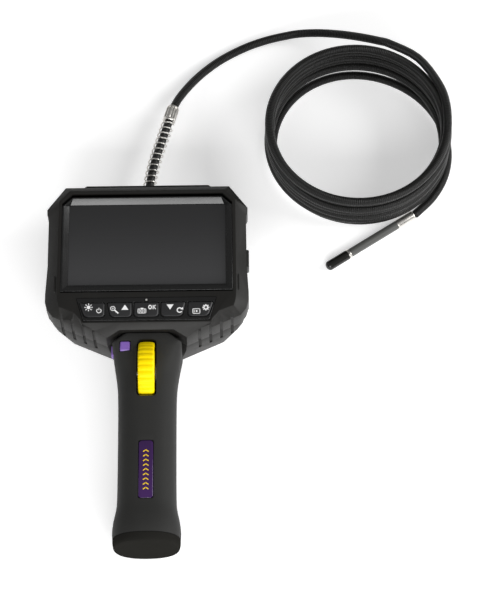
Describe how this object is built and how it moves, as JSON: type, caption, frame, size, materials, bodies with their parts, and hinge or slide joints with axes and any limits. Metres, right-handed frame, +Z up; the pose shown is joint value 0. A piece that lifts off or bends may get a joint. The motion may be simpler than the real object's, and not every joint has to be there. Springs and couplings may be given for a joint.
{
  "type": "hand-held inspection camera",
  "caption": "Hand-held inspection camera with a screen, a key row, a thumb wheel that steers its bending tip, and a coiled probe cable.",
  "frame": {"origin": "bottom centre of the instrument lying on its back, measured without the free probe and its gland", "axes": "+Z up out of the screen, +Y from the grip towards the screen head and the probe's outlet, +X to the right of someone reading the screen"},
  "size_m": [0.2541, 0.3581, 0.0447],
  "materials": {
    "armour": "fine matte grain, nearly black",
    "gloss_black": "glossy black",
    "soft_grip": "soft-touch paint, dark grey",
    "key_rubber": "satin silicone with white symbols",
    "seal_rubber": "matte black rubber",
    "display": "dark polished acrylic over a dark display",
    "circuit_board": "green solder mask",
    "steel": "bright nickel-plated steel",
    "sheet_metal": "plain satin steel",
    "yellow": "satin yellow",
    "purple": "satin purple",
    "badge": "deep purple gloss",
    "acetal": "natural acetal",
    "battery_sleeve": "blue shrink sleeve",
    "cable_sheath": "black ribbed sheath, satin",
    "light_pipe": "frosted clear plastic"
  },
  "bodies": {
    "body": {"head_front_shell": "armour", "head_rear_shell": "armour", "screen_bezel": "gloss_black", "keypad_frame": "gloss_black", "grip_base_cap": "gloss_black", "grip_front": "soft_grip", "grip_rear": "soft_grip", "shell_gasket": "seal_rubber", "keypad_mat": "seal_rubber", "screen_window": "display", "lcd_panel": "display", "main_board": "circuit_board", "key_board": "circuit_board", "button_board": "circuit_board", "cable_gland": "steel", "relief_spring": "steel", "cable_ferrule": "steel", "tip_collar": "steel", "wheel_axle": "steel", "battery_contact": "steel", "usb_socket": "steel", "card_socket": "steel", "lcd_bracket": "sheet_metal", "neck_block": "sheet_metal", "wheel_bracket": "sheet_metal", "rear_screw_1": "sheet_metal", "rear_screw_2": "sheet_metal", "rear_screw_3": "sheet_metal", "rear_screw_4": "sheet_metal", "grip_screw_1": "sheet_metal", "grip_screw_2": "sheet_metal", "grip_screw_3": "sheet_metal", "name_plate": "badge", "battery_cell": "battery_sleeve", "relief_core": "cable_sheath", "probe_lead": "cable_sheath", "probe_coil": "cable_sheath", "probe_coil_foot": "cable_sheath", "probe_tail": "cable_sheath", "status_light": "light_pipe"},
    "wheel": {"steering_wheel": "yellow", "steering_drum": "acetal"},
    "camera_head": {"front_collar": "steel", "camera_barrel": "gloss_black", "camera_lens": "display", "light_ring": "light_pipe"},
    "lens_cap": {"lens_cap": "seal_rubber"},
    "port_cover": {"port_cover": "seal_rubber"},
    "front_button": {"front_button": "purple"},
    "side_button": {"side_button": "purple"},
    "bend_link_1": {"bend_link_1": "sheet_metal"},
    "bend_link_2": {"bend_link_2": "sheet_metal"},
    "bend_link_3": {"bend_link_3": "sheet_metal"},
    "bend_link_4": {"bend_link_4": "sheet_metal"},
    "bend_link_5": {"bend_link_5": "sheet_metal"},
    "key_light_power": {"key_light_power": "key_rubber"},
    "key_zoom_up": {"key_zoom_up": "key_rubber"},
    "key_photo_ok": {"key_photo_ok": "key_rubber"},
    "key_turn_down": {"key_turn_down": "key_rubber"},
    "key_play_menu": {"key_play_menu": "key_rubber"}
  },
  "joints": [
    {"name": "wheel_turn", "type": "hinge", "parent": "body", "child": "wheel", "pos_m": [0, -0.0064, 0.0257], "axis": [1, 0, 0], "range_deg": [-45, 45]},
    {"name": "bend_1", "type": "hinge", "parent": "body", "child": "bend_link_1", "pos_m": [0.15288, 0.10087, 0.0032], "axis": [0, 0, 1], "range_deg": [-8, 8]},
    {"name": "bend_2", "type": "hinge", "parent": "bend_link_1", "child": "bend_link_2", "pos_m": [0.14784, 0.09761, 0.0032], "axis": [0, 0, 1], "range_deg": [-8, 8]},
    {"name": "bend_3", "type": "hinge", "parent": "bend_link_2", "child": "bend_link_3", "pos_m": [0.14281, 0.09435, 0.0032], "axis": [0, 0, 1], "range_deg": [-8, 8]},
    {"name": "bend_4", "type": "hinge", "parent": "bend_link_3", "child": "bend_link_4", "pos_m": [0.13777, 0.09109, 0.0032], "axis": [0, 0, 1], "range_deg": [-8, 8]},
    {"name": "bend_5", "type": "hinge", "parent": "bend_link_4", "child": "bend_link_5", "pos_m": [0.13273, 0.08783, 0.0032], "axis": [0, 0, 1], "range_deg": [-8, 8]},
    {"name": "bend_6", "type": "hinge", "parent": "bend_link_5", "child": "camera_head", "pos_m": [0.12769, 0.08457, 0.0032], "axis": [0, 0, 1], "range_deg": [-8, 8]},
    {"name": "cap_pull", "type": "slide", "parent": "camera_head", "child": "lens_cap", "axis": [-0.8396, -0.5432, 0], "range_m": [0, 0.018]},
    {"name": "key_light_power_press", "type": "slide", "parent": "body", "child": "key_light_power", "axis": [0, 0, -1], "range_m": [0, 0.0006], "stiffness_N_per_m": 1500, "springref_m": -0.0002},
    {"name": "key_zoom_up_press", "type": "slide", "parent": "body", "child": "key_zoom_up", "axis": [0, 0, -1], "range_m": [0, 0.0006], "stiffness_N_per_m": 1500, "springref_m": -0.0002},
    {"name": "key_photo_ok_press", "type": "slide", "parent": "body", "child": "key_photo_ok", "axis": [0, 0, -1], "range_m": [0, 0.0006], "stiffness_N_per_m": 1500, "springref_m": -0.0002},
    {"name": "key_turn_down_press", "type": "slide", "parent": "body", "child": "key_turn_down", "axis": [0, 0, -1], "range_m": [0, 0.0006], "stiffness_N_per_m": 1500, "springref_m": -0.0002},
    {"name": "key_play_menu_press", "type": "slide", "parent": "body", "child": "key_play_menu", "axis": [0, 0, -1], "range_m": [0, 0.0006], "stiffness_N_per_m": 1500, "springref_m": -0.0002},
    {"name": "front_button_press", "type": "slide", "parent": "body", "child": "front_button", "axis": [0, 0, -1], "range_m": [0, 0.0006], "stiffness_N_per_m": 1500, "springref_m": -0.0002},
    {"name": "side_button_press", "type": "slide", "parent": "body", "child": "side_button", "axis": [1, 0, 0], "range_m": [0, 0.0006], "stiffness_N_per_m": 1500, "springref_m": -0.0002},
    {"name": "port_cover_swing", "type": "hinge", "parent": "body", "child": "port_cover", "pos_m": [0.0616, 0.06515, 0.0258], "axis": [0, 1, 0], "range_deg": [0, 100]}
  ],
  "couplings": [
    {"joint": "bend_1", "follows": "wheel_turn", "ratio": 0.1777},
    {"joint": "bend_2", "follows": "wheel_turn", "ratio": 0.1777},
    {"joint": "bend_3", "follows": "wheel_turn", "ratio": 0.1777},
    {"joint": "bend_4", "follows": "wheel_turn", "ratio": 0.1777},
    {"joint": "bend_5", "follows": "wheel_turn", "ratio": 0.1777},
    {"joint": "bend_6", "follows": "wheel_turn", "ratio": 0.1777}
  ]
}
